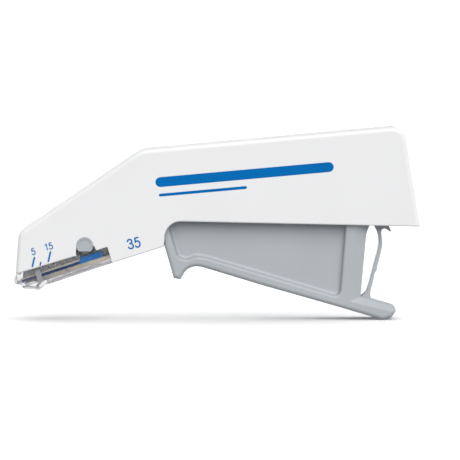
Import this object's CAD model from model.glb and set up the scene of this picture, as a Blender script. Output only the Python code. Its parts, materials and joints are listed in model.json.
import json
import math
import random

import bmesh
import bpy
from mathutils import Matrix, Vector


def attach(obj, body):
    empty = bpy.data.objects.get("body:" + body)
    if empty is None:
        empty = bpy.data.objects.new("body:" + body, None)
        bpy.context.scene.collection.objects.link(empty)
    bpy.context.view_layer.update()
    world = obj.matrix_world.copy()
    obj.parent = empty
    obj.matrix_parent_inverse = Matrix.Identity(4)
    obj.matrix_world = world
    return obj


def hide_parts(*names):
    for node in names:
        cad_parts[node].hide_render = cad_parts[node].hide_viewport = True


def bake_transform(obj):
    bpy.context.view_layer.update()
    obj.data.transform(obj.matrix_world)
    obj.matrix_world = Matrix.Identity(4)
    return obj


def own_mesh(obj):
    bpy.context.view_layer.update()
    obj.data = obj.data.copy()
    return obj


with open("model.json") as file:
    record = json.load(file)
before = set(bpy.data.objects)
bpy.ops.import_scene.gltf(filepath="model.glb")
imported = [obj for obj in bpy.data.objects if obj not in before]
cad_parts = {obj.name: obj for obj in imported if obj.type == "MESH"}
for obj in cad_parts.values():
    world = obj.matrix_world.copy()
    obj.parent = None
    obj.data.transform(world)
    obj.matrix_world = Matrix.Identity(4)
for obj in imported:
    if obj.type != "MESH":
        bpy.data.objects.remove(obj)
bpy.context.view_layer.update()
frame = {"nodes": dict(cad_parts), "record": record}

random.seed(11)
MM = 0.001

# ------------------------------------------------------------------ geometry
# the same driving sizes as the solids, in millimetres
PIVOT = (-45.44, 25.87)
MAG_ANGLE, MAG_X, MAG_Z = math.radians(18.1), -67.69, 14.14
NOSE = math.radians(5.7)
CU, SU = math.cos(MAG_ANGLE), math.sin(MAG_ANGLE)
CN, SN = math.cos(NOSE), math.sin(NOSE)
HALF = 9.0
PF, PUSHER_LEN, SPRING_B, SPRING_END = 35 * 0.581 + 1.41 - 0.581 / 2 + 0.03, 7.9, -0.70, 48.6


def M(a, b, y=0.0):
    """A point in the magazine's axes (a along the row, b square to it), in metres."""
    return Vector(((MAG_X + a * CU - b * SU) * MM, y * MM, (MAG_Z + a * SU + b * CU) * MM))


def P(x, z, y=0.0):
    return Vector((x * MM, y * MM, z * MM))


# ----------------------------------------------------------------- materials
def new_mat(name):
    m = bpy.data.materials.new(name)
    m.use_nodes = True
    nt = m.node_tree
    nt.nodes.clear()
    out = nt.nodes.new("ShaderNodeOutputMaterial")
    b = nt.nodes.new("ShaderNodeBsdfPrincipled")
    nt.links.new(b.outputs["BSDF"], out.inputs["Surface"])
    return m, nt, b


def node(nt, kind, **inputs):
    n = nt.nodes.new(kind)
    for k, v in inputs.items():
        n.inputs[k.replace("_", " ")].default_value = v
    return n


def noise(nt, coords, scale, detail=3.0, rough=0.5):
    n = nt.nodes.new("ShaderNodeTexNoise")
    n.inputs["Scale"].default_value = scale
    n.inputs["Detail"].default_value = detail
    n.inputs["Roughness"].default_value = rough
    nt.links.new(coords, n.inputs["Vector"])
    return n


def ramp(nt, fac, stops):
    r = nt.nodes.new("ShaderNodeValToRGB")
    els = r.color_ramp.elements
    while len(els) < len(stops):
        els.new(0.5)
    for e, (p, c) in zip(els, stops):
        e.position = p
        e.color = c if len(c) == 4 else (*c, 1.0)
    nt.links.new(fac, r.inputs["Fac"])
    return r


def span(nt, fac, lo, hi):
    m = nt.nodes.new("ShaderNodeMapRange")
    m.inputs["To Min"].default_value = lo
    m.inputs["To Max"].default_value = hi
    nt.links.new(fac, m.inputs["Value"])
    return m.outputs["Result"]


def bump(nt, bsdf, height, strength, distance):
    b = nt.nodes.new("ShaderNodeBump")
    b.inputs["Strength"].default_value = strength
    b.inputs["Distance"].default_value = distance
    nt.links.new(height, b.inputs["Height"])
    nt.links.new(b.outputs["Normal"], bsdf.inputs["Normal"])
    return b


def plastic(name, color, rough=0.35, spread=0.015, grain=5200.0, grain_depth=0.0000045, spec=0.5, subsurface=0.0):
    """Moulded plastic: a fine spark-eroded grain, faint flow clouding, and uneven gloss."""
    m, nt, b = new_mat(name)
    co = nt.nodes.new("ShaderNodeTexCoord").outputs["Object"]
    cloud = noise(nt, co, 38.0, 3.0)
    lo = tuple(max(0.0, c * (1 - spread)) for c in color)
    hi = tuple(min(1.0, c * (1 + spread)) for c in color)
    nt.links.new(ramp(nt, cloud.outputs["Fac"], [(0.3, lo), (0.7, hi)]).outputs["Color"], b.inputs["Base Color"])
    patch = noise(nt, co, 160.0, 4.0)
    nt.links.new(span(nt, patch.outputs["Fac"], rough - 0.05, rough + 0.06), b.inputs["Roughness"])
    fine = noise(nt, co, grain, 2.0, 0.6)
    bump(nt, b, fine.outputs["Fac"], 0.5, grain_depth)
    b.inputs["Specular IOR Level"].default_value = spec
    if subsurface:
        b.inputs["Subsurface Weight"].default_value = subsurface
        b.inputs["Subsurface Radius"].default_value = (0.0012, 0.0011, 0.0010)
        b.inputs["Subsurface Scale"].default_value = 1.0
    return m


def clear(name, tint=(0.90, 0.92, 0.95), rough=0.10, body=0.92, ripple_depth=0.00003, ior=1.30):
    """Clear moulded plastic: tinted by its thickness, with flow haze and a faint ripple."""
    m, nt, b = new_mat(name)
    co = nt.nodes.new("ShaderNodeTexCoord").outputs["Object"]
    haze = noise(nt, co, 420.0, 3.0)
    lo = tuple(t * 0.90 for t in tint)
    hi = tuple(min(1.0, t * 1.06) for t in tint)
    nt.links.new(ramp(nt, haze.outputs["Fac"], [(0.35, lo), (0.70, hi)]).outputs["Color"], b.inputs["Base Color"])
    cloud = noise(nt, co, 1500.0, 3.0)
    nt.links.new(span(nt, cloud.outputs["Fac"], max(0.02, rough - 0.05), rough + 0.10), b.inputs["Roughness"])
    wave = noise(nt, co, 900.0, 2.0)
    bump(nt, b, wave.outputs["Fac"], 0.35, ripple_depth)
    b.inputs["Transmission Weight"].default_value = body
    b.inputs["IOR"].default_value = ior
    return m


def metal(name, color, rough, stretch=(1.0, 1.0, 1.0), scale=900.0, depth=0.000006, temper=None):
    """Steel with drawn or rolled streaks along the direction that stretch leaves long.

    temper = (x0, x1, colour at x0): the colour that the sheet has at its hardened end, going over to the plain one."""
    m, nt, b = new_mat(name)
    tc = nt.nodes.new("ShaderNodeTexCoord").outputs["Object"]
    mp = nt.nodes.new("ShaderNodeMapping")
    mp.inputs["Scale"].default_value = stretch
    nt.links.new(tc, mp.inputs["Vector"])
    n = noise(nt, mp.outputs["Vector"], scale, 4.0, 0.6)
    dark = tuple(c * 0.80 for c in color)
    tone = ramp(nt, n.outputs["Fac"], [(0.3, dark), (0.7, color)]).outputs["Color"]
    if temper:
        x0, x1, end = temper
        sep = nt.nodes.new("ShaderNodeSeparateXYZ")
        nt.links.new(tc, sep.inputs["Vector"])
        mr = nt.nodes.new("ShaderNodeMapRange")
        mr.inputs["From Min"].default_value, mr.inputs["From Max"].default_value = x0, x1
        nt.links.new(sep.outputs["X"], mr.inputs["Value"])
        mix = nt.nodes.new("ShaderNodeMix")
        mix.data_type = "RGBA"
        mix.inputs["A"].default_value = (*end, 1.0)
        nt.links.new(mr.outputs["Result"], mix.inputs["Factor"])
        nt.links.new(tone, mix.inputs["B"])
        tone = mix.outputs["Result"]
    nt.links.new(tone, b.inputs["Base Color"])
    nt.links.new(span(nt, n.outputs["Fac"], rough - 0.08, rough + 0.10), b.inputs["Roughness"])
    b.inputs["Metallic"].default_value = 1.0
    bump(nt, b, n.outputs["Fac"], 0.4, depth)
    return m


MATS = {
    "housing_white": plastic("housing_white", (0.700, 0.702, 0.708), 0.36, 0.012, subsurface=0.04),
    "trigger_grey": plastic("trigger_grey", (0.345, 0.368, 0.392), 0.46, 0.04),
    "clear_plastic": clear("clear_plastic", (0.60, 0.60, 0.622), 0.12, 0.70, 0.00003, 1.34),
    "clear_window": clear("clear_window", (0.80, 0.81, 0.83), 0.04, 0.98, 0.00001, 1.16),
    "clear_nose": clear("clear_nose", (0.74, 0.74, 0.76), 0.06, 0.94, 0.00001, 1.22),
    "clear_strap": clear("clear_strap", (0.50, 0.50, 0.53), 0.28, 0.55, 0.00002, 1.3),
    "dark_plastic": plastic("dark_plastic", (0.022, 0.023, 0.026), 0.45, 0.10),
    "pusher_blue": plastic("pusher_blue", (0.0005, 0.285, 0.86), 0.34, 0.05, spec=0.05),
    "staple_steel": metal("staple_steel", (0.52, 0.51, 0.50), 0.26, (1.0, 0.15, 1.0)),
    "blade_steel": metal("blade_steel", (0.24, 0.24, 0.25), 0.34, (0.2, 1.0, 1.0)),
    "warm_steel": metal("warm_steel", (0.86, 0.74, 0.60), 0.42, (0.2, 1.0, 1.0)),
    "floor_steel": metal("floor_steel", (0.80, 0.70, 0.58), 0.42, (0.2, 1.0, 1.0), temper=(-0.062, -0.045, (0.40, 0.38, 0.35))),
    "spring_steel": metal("spring_steel", (0.34, 0.34, 0.35), 0.32),
    "blued_steel": metal("blued_steel", (0.004, 0.050, 0.165), 0.30, (0.15, 1.0, 1.0)),
}
slots = {s["node"]: s["material_slot"] for s in frame["record"]["subparts"]}
FINISH = {"side_windows": "clear_window", "magazine_nose": "clear_nose", "magazine_clips": "clear_strap", "anvil_plate": "floor_steel", "floor_plate": "floor_steel"}
for name, obj in frame["nodes"].items():
    mat = MATS[FINISH.get(name, slots[name])]
    if not obj.material_slots:
        obj.data.materials.append(mat)
    for s in obj.material_slots:
        s.material = mat


# -------------------------------------------------------------------- pieces
def piece(name, bm, body, slot, smooth=True):
    me = bpy.data.meshes.new(name)
    bm.normal_update()
    bm.to_mesh(me)
    bm.free()
    o = bpy.data.objects.new(name, me)
    bpy.context.scene.collection.objects.link(o)
    if smooth:
        for p in me.polygons:
            p.use_smooth = True
    me.materials.append(MATS[slot] if slot in MATS else slot)
    if body:
        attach(o, body)
    return o


def soften(points, steps=5):
    """A Catmull-Rom line through the points."""
    pts = [Vector(p) for p in points]
    pts = [pts[0] * 2 - pts[1]] + pts + [pts[-1] * 2 - pts[-2]]
    out = []
    for i in range(1, len(pts) - 2):
        a, b, c, d = pts[i - 1:i + 3]
        for k in range(steps):
            t = k / steps
            out.append(0.5 * (2 * b + (c - a) * t + (2 * a - 5 * b + 4 * c - d) * t * t + (3 * b - a - 3 * c + d) * t ** 3))
    return out + [pts[-2]]


# strokes of the figures in a box one unit high: (curved or not, points along the middle of the stroke)
FIGURES = {
    "1": (0.40, [(False, [(0.00, 0.775), (0.13, 0.79), (0.235, 0.87), (0.27, 0.985)]), (False, [(0.235, 1.0), (0.235, 0.0)])]),
    "3": (0.56, [
        (True, [(0.065, 0.73), (0.085, 0.85), (0.165, 0.925), (0.28, 0.938), (0.39, 0.905), (0.447, 0.81), (0.435, 0.695), (0.365, 0.595), (0.26, 0.548), (0.18, 0.548)]),
        (True, [(0.18, 0.548), (0.29, 0.545), (0.42, 0.485), (0.49, 0.37), (0.485, 0.225), (0.41, 0.11), (0.27, 0.062), (0.14, 0.095), (0.065, 0.185), (0.045, 0.30)])]),
    "5": (0.56, [
        (False, [(0.50, 0.935), (0.155, 0.935), (0.095, 0.50)]),
        (True, [(0.085, 0.515), (0.165, 0.595), (0.28, 0.63), (0.40, 0.585), (0.48, 0.47), (0.49, 0.32), (0.445, 0.17), (0.35, 0.08), (0.235, 0.06), (0.12, 0.10), (0.06, 0.18), (0.04, 0.27)])]),
}


def figures(name, body, words, height, x, z, angle, weight, gap=0.10, y=-HALF):
    """Printed figures on the left side: a thin film of ink, standing on the wall, built stroke by stroke."""
    bm = bmesh.new()
    total = sum(FIGURES[c][0] for c in words) + gap * (len(words) - 1)
    pen = -total / 2
    ca, sa = math.cos(math.radians(angle)), math.sin(math.radians(angle))
    for c in words:
        wide, strokes = FIGURES[c]
        for n, (curved, pts) in enumerate(strokes):
            line = soften(pts) if curved else [Vector(p) for p in pts]
            thick = 0.020 + 0.004 * n
            rings = []
            for i, p in enumerate(line):
                d0 = (line[i] - line[i - 1]).normalized() if i else None
                d1 = (line[i + 1] - line[i]).normalized() if i < len(line) - 1 else None
                d = ((d0 or d1) + (d1 or d0)).normalized()
                k = 1.0 / max(0.5, d.dot(d0 or d1))
                side = Vector((-d.y, d.x)) * (weight / 2 * k)
                ring = []
                for q in (p + side, p - side):
                    u, v = (pen + q.x) * height, (q.y - 0.5) * height
                    px_, pz_ = x + u * ca - v * sa, z + u * sa + v * ca
                    ring += [bm.verts.new(P(px_, pz_, y - thick)), bm.verts.new(P(px_, pz_, y + 0.02))]
                rings.append(ring)
            for a, b in zip(rings, rings[1:]):
                bm.faces.new((a[0], b[0], b[2], a[2]))
                bm.faces.new((a[1], a[3], b[3], b[1]))
                bm.faces.new((a[0], a[1], b[1], b[0]))
                bm.faces.new((a[2], b[2], b[3], a[3]))
            for r in (rings[0], rings[-1]):
                bm.faces.new((r[0], r[2], r[3], r[1]))
        pen += wide + gap
    bmesh.ops.recalc_face_normals(bm, faces=bm.faces)
    o = piece(name, bm, None, MATS["print_blue"], smooth=False)
    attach(o, body)
    return o


def strip(name, body, pts, y=-HALF, thick=0.02):
    """A printed patch with the outline pts, in millimetres."""
    bm = bmesh.new()
    front = [bm.verts.new(P(x, z, y - thick)) for x, z in pts]
    back = [bm.verts.new(P(x, z, y + thick)) for x, z in pts]
    f = bm.faces.new(front)
    bm.faces.new(back[::-1])
    n = len(pts)
    for i in range(n):
        bm.faces.new((front[i], back[i], back[(i + 1) % n], front[(i + 1) % n]))
    bmesh.ops.recalc_face_normals(bm, faces=bm.faces)
    o = piece(name, bm, None, MATS["print_blue"], smooth=False)
    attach(o, body)
    return o


MATS["print_blue"] = plastic("print_blue", (0.0003, 0.125, 0.380), 0.40, 0.06, spec=0.04)


def bar(x0, z0, x1, z1, w, caps=6):
    """Outline of a straight bar with rounded ends."""
    a = math.atan2(z1 - z0, x1 - x0)
    pts = []
    for (x, z), start in (((x1, z1), a - math.pi / 2), ((x0, z0), a + math.pi / 2)):
        for i in range(caps + 1):
            t = start + math.pi * i / caps
            pts.append((x + w / 2 * math.cos(t), z + w / 2 * math.sin(t)))
    return pts


def px(x, y):
    """Where a point of the 460 px frame lies on the left side, in millimetres."""
    return ((x - 216.2) * 0.345, (320 - y) * 0.345)


# counting marks on the left side
x, z = px(33.2, 250.9)
figures("mark_5", "housing", "5", 2.45, x, z, 14, 0.15)
x, z = px(48.8, 245.7)
figures("mark_15", "housing", "15", 2.45, x, z, 14, 0.15, 0.12)
strip("tick_5", "housing", bar(*px(34.3, 257.0), *px(32.2, 265.6), 0.62))
strip("tick_15", "housing", bar(*px(50.3, 251.4), *px(48.2, 260.6), 0.62))
strip("tick_small", "housing", bar(*px(40.6, 261.9), *px(40.1, 264.2), 0.55))
x, z = px(133.6, 242.5)
figures("capacity_35", "housing", "35", 3.65, x, z, 14, 0.145, 0.10)
# plain printed bars where the name was
t = math.radians(5.1)
x0, z0 = px(160, 181.5)
x1, z1 = px(328, 166.5)
strip("print_bar_wide", "housing", bar(x0, z0, x1, z1, 3.4))
x0, z0 = px(160, 194.5)
x1, z1 = px(245, 186.9)
strip("print_bar_thin", "housing", bar(x0, z0, x1, z1, 1.0))


# ------------------------------------------------------------- staple stack
# the row of staples gets shorter as the pusher moves up to the nose
src = frame["nodes"]["staple_stack"]
me = src.data.copy()
me.name = "staple_row"
row = bpy.data.objects.new("staple_row", me)
bpy.context.scene.collection.objects.link(row)
me.materials.clear()
me.materials.append(MATS["staple_steel"])
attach(row, "housing")
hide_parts("staple_stack")
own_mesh(row)


# --------------------------------------------------------------- coil spring
def coil(name, p0, p1, radius, wire, turns, per_turn=28, ring=8):
    bm = bmesh.new()
    axis = (p1 - p0).normalized()
    side = Vector((0, 1, 0))
    up = axis.cross(side).normalized()
    length = (p1 - p0).length - wire
    n = int(turns * per_turn)
    rings = []
    for i in range(n + 1):
        f = i / n
        t = f * turns
        # closed end turns
        lead = min(t, 1.5) * wire * 1.02
        tail = min(turns - t, 1.5) * wire * 1.02
        mid = max(0.0, min(1.0, (t - 1.5) / (turns - 3.0)))
        ends = 1.5 * wire * 1.02
        along = lead + mid * (length - 2 * ends) + (ends - tail)
        c = p0 + axis * (wire / 2 + along) + (side * math.cos(2 * math.pi * t) + up * math.sin(2 * math.pi * t)) * radius
        rad = (side * math.cos(2 * math.pi * t) + up * math.sin(2 * math.pi * t))
        loop = [bm.verts.new(c + (rad * math.cos(2 * math.pi * k / ring) + axis * math.sin(2 * math.pi * k / ring)) * wire / 2) for k in range(ring)]
        rings.append(loop)
    for a, b in zip(rings, rings[1:]):
        for k in range(ring):
            bm.faces.new((a[k], a[(k + 1) % ring], b[(k + 1) % ring], b[k]))
    bm.faces.new(rings[0][::-1])
    bm.faces.new(rings[-1])
    bmesh.ops.recalc_face_normals(bm, faces=bm.faces)
    me = bpy.data.meshes.new(name)
    bm.to_mesh(me)
    bm.free()
    for p in me.polygons:
        p.use_smooth = True
    o = bpy.data.objects.new(name, me)
    bpy.context.scene.collection.objects.link(o)
    return o


spring = coil("pusher_coil", M(PF + PUSHER_LEN - 0.8, SPRING_B), M(SPRING_END, SPRING_B), 1.13 * MM, 0.34 * MM, 24)
spring.data.materials.append(MATS["spring_steel"])
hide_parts("pusher_spring")
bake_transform(spring)

# --------------------------------------------------------------------- stage
# a round pale floor that curves up into a backdrop on every side
bm = bmesh.new()
REACH, RISE, BEND, AROUND = 2.4, 2.6, 0.9, 72
profile = [(REACH - BEND, 0.0)]
for i in range(1, 17):
    t = math.pi / 2 * i / 16
    profile.append((REACH - BEND + BEND * math.sin(t), BEND - BEND * math.cos(t)))
profile.append((REACH, RISE))
rows = [[bm.verts.new((q * math.cos(2 * math.pi * k / AROUND), q * math.sin(2 * math.pi * k / AROUND), z)) for k in range(AROUND)] for q, z in profile]
bm.faces.new(rows[0])
for a, b in zip(rows, rows[1:]):
    for k in range(AROUND):
        j = (k + 1) % AROUND
        bm.faces.new((a[k], b[k], b[j], a[j]))
bmesh.ops.recalc_face_normals(bm, faces=bm.faces)
if bm.faces[:][0].normal.z < 0:
    bmesh.ops.reverse_faces(bm, faces=bm.faces[:])
me = bpy.data.meshes.new("floor")
bm.to_mesh(me)
bm.free()
for p in me.polygons:
    p.use_smooth = True
floor = bpy.data.objects.new("floor", me)
bpy.context.scene.collection.objects.link(floor)
fm, fnt, fb = new_mat("floor_paper")
fb.inputs["Base Color"].default_value = (0.95, 0.95, 0.95, 1)
fb.inputs["Roughness"].default_value = 0.9
fb.inputs["Specular IOR Level"].default_value = 0.2
me.materials.append(fm)


def sun(name, towards, strength, angle):
    """A very soft distant light; towards points from the object to the light."""
    l = bpy.data.lights.new(name, "SUN")
    l.energy = strength
    l.angle = math.radians(angle)
    o = bpy.data.objects.new(name, l)
    o.rotation_euler = Vector(towards).to_track_quat("Z", "Y").to_euler()
    bpy.context.scene.collection.objects.link(o)
    return o


# wide soft lights round the object, and an overhead one on the floor that gives the soft shadow under it
on_floor = bpy.data.collections.new("floor_light")
on_floor.objects.link(floor)
off_floor = bpy.data.collections.new("object_light")
off_floor.objects.link(floor)
off_floor.collection_objects[0].light_linking.link_state = "EXCLUDE"
for name, towards, strength, angle in (("front", (0.12, -0.75, 0.65), 3.40, 62), ("back", (-0.42, 0.90, 0.12), 2.6, 50), ("side", (0.95, 0.25, 0.10), 1.0, 50)):
    sun(name, towards, strength, angle).light_linking.receiver_collection = off_floor
sun("overhead", (0.02, -0.02, 1.0), 3.45, 120).light_linking.receiver_collection = on_floor
floor.visible_diffuse = False
floor.visible_shadow = False

world = bpy.data.worlds.new("studio")
bpy.context.scene.world = world
world.use_nodes = True
wnt = world.node_tree
bg = wnt.nodes["Background"]
tc = wnt.nodes.new("ShaderNodeTexCoord")
sep = wnt.nodes.new("ShaderNodeSeparateXYZ")
wnt.links.new(tc.outputs["Generated"], sep.inputs["Vector"])
# a soft studio: brighter overhead than round the horizon
wr = ramp(wnt, sep.outputs["Z"], [(0.0, (0.42, 0.42, 0.424)), (0.06, (0.30, 0.30, 0.303)), (0.8, (0.22, 0.22, 0.22))])
wnt.links.new(wr.outputs["Color"], bg.inputs["Color"])
bg.inputs["Strength"].default_value = 1.0

# -------------------------------------------------------------------- camera
cam = bpy.data.cameras.new("camera")
cam.sensor_width = 36.0
cam.lens = 220.0
ELEVATION = math.radians(3.2)
width = 460 * 0.345 * MM * 0.9975
dist = width / (36.0 / cam.lens)
aim = P((230 - 216.2) * 0.345 - 0.17, (320 - 230) * 0.345 + 0.24, -HALF)
co = bpy.data.objects.new("camera", cam)
co.location = aim + Vector((0, -math.cos(ELEVATION), math.sin(ELEVATION))) * dist
co.rotation_euler = (math.pi / 2 - ELEVATION, 0, 0)
cam.clip_start, cam.clip_end = 0.02, 20.0
bpy.context.scene.collection.objects.link(co)
bpy.context.scene.camera = co
bpy.context.scene.view_settings.view_transform = "Standard"
bpy.context.scene.view_settings.look = "None"
